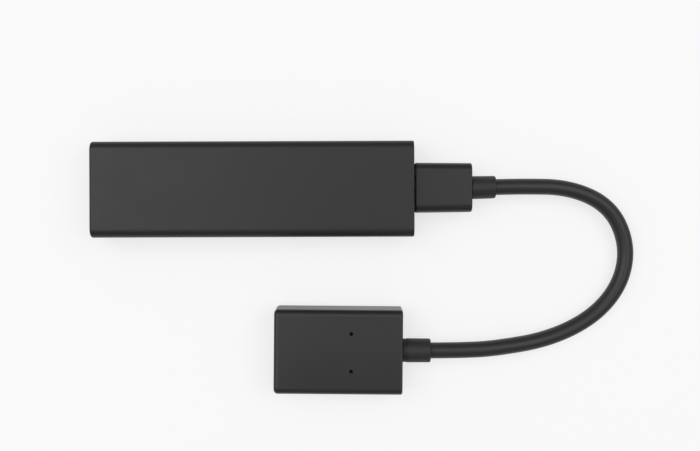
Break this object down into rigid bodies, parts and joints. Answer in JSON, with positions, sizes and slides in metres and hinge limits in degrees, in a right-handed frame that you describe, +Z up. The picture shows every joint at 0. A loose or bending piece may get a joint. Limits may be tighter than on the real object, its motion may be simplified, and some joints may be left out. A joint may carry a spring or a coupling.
{
  "type": "streaming media stick",
  "caption": "Slim bar-shaped streaming stick with rounded long edges, its video plug in a slim coupler, and a short round cable that curves to a flat socket block.",
  "frame": {"origin": "centre of the stick's underside, on the table", "axes": "+X along the stick, out of its plug; +Y across the stick, away from its power socket; +Z up"},
  "size_m": [0.17, 0.0789, 0.014],
  "materials": {
    "housing": "satin black moulded plastic with a fine spark texture",
    "overmould": "satin black moulded plastic",
    "relief": "satin black soft vinyl",
    "jacket": "smooth satin black vinyl jacket",
    "steel_shell": "drawn and plated steel sheet",
    "insulator": "black glass-filled plastic",
    "contact": "gold-plated copper alloy",
    "inner_moulding": "black inner moulding",
    "wire": "insulated hook-up wire",
    "board": "solder-masked glass laminate",
    "chip": "moulded chip package",
    "tinplate": "tinplate",
    "ferrite": "pressed ferrite",
    "ceramic": "ceramic chip",
    "thermal_pad": "soft thermal pad",
    "heat_spreader": "stamped sheet",
    "crimp": "rolled brass ring"
  },
  "bodies": {
    "stick": {"top_shell": "housing", "bottom_shell": "housing", "main_board": "board", "processor": "chip", "memory_chip": "chip", "flash_chip": "chip", "power_chip": "chip", "wireless_module": "tinplate", "crystals": "tinplate", "upper_shield_frame": "tinplate", "upper_shield_lid": "tinplate", "lower_shield_frame": "tinplate", "lower_shield_lid": "tinplate", "inductors": "ferrite", "capacitors": "ceramic", "processor_pad": "thermal_pad", "flash_pad": "thermal_pad", "upper_lid_pad": "thermal_pad", "lower_lid_pad": "thermal_pad", "upper_heat_spreader": "heat_spreader", "lower_heat_spreader": "heat_spreader", "left_antenna": "contact", "right_antenna": "contact", "plug_contacts": "contact", "power_socket_contacts": "contact", "plug_shell": "steel_shell", "power_socket_shell": "steel_shell", "plug_insulator": "insulator", "power_socket_tongue": "insulator"},
    "lead": {"coupler_body": "overmould", "block_body": "overmould", "coupler_relief": "relief", "block_relief": "relief", "lead_cable": "jacket", "coupler_cable_end": "jacket", "block_cable_end": "jacket", "coupler_socket_shell": "steel_shell", "block_socket_shell": "steel_shell", "coupler_insulator": "insulator", "block_insulator": "insulator", "coupler_contacts": "contact", "block_contacts": "contact", "coupler_core": "inner_moulding", "block_core": "inner_moulding", "coupler_wires": "wire", "block_wires": "wire", "block_upper_shield": "tinplate", "block_lower_shield": "tinplate", "block_board": "board", "block_crimp": "crimp"}
  },
  "joints": [
    {"name": "unplug", "type": "slide", "parent": "stick", "child": "lead", "axis": [1, 0, 0], "range_m": [0, 0.012]}
  ]
}
